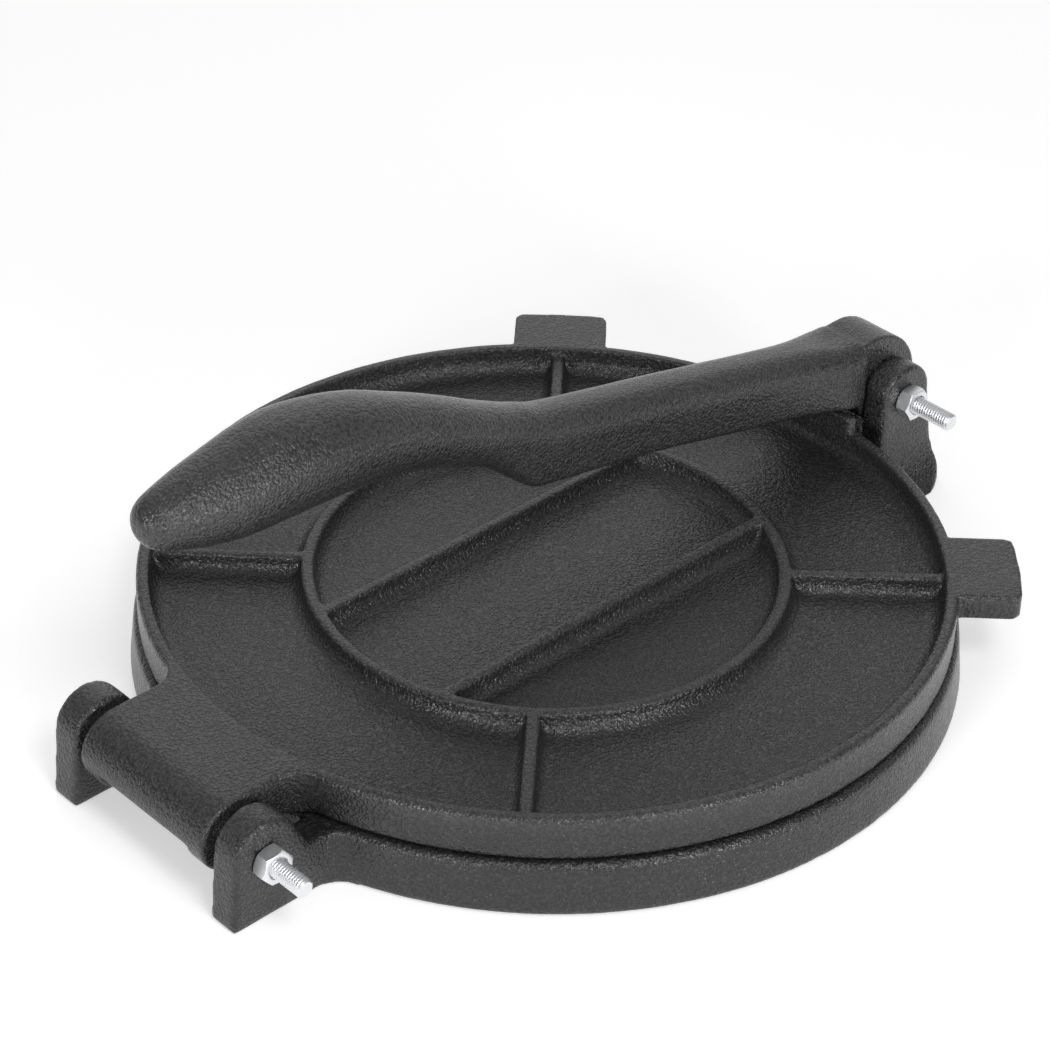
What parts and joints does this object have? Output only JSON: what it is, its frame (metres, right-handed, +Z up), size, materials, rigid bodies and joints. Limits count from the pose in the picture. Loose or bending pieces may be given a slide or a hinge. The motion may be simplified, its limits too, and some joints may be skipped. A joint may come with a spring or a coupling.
{
  "type": "tortilla press",
  "caption": "Cast-iron tortilla press: a ribbed upper plate hinged to a flat base plate and pressed down by a long lever that pivots at the opposite side.",
  "frame": {"origin": "On the table, on the base plate's flat underside, under the common centre of the two discs.", "axes": "+X runs from the plates' centre to the lever's pivot, -X to the plate hinge, +Z is up from the table, and both pins run along Y with their nuts on the -Y side."},
  "size_m": [0.3246, 0.2604, 0.129],
  "materials": {
    "iron": "dark seasoned casting, fine pebbled grain, semi-gloss",
    "zinc": "bright zinc-plated steel"
  },
  "bodies": {
    "base": {"base_plate": "iron", "hinge_bolt": "zinc", "hinge_nut": "zinc", "lever_bolt": "zinc", "lever_nut": "zinc"},
    "upper": {"upper_plate": "iron"},
    "handle": {"lever": "iron"}
  },
  "joints": [
    {"name": "lever_pivot", "type": "hinge", "parent": "base", "child": "handle", "pos_m": [0.1462, 0, 0.0375], "axis": [0, 1, 0], "range_deg": [0, 165]},
    {"name": "plate_hinge", "type": "hinge", "parent": "base", "child": "upper", "pos_m": [-0.1468, 0, 0.0212], "axis": [0, -1, 0], "range_deg": [0, 13.3]}
  ],
  "couplings": [
    {"joint": "plate_hinge", "follows": "lever_pivot", "ratio": 0.08}
  ]
}
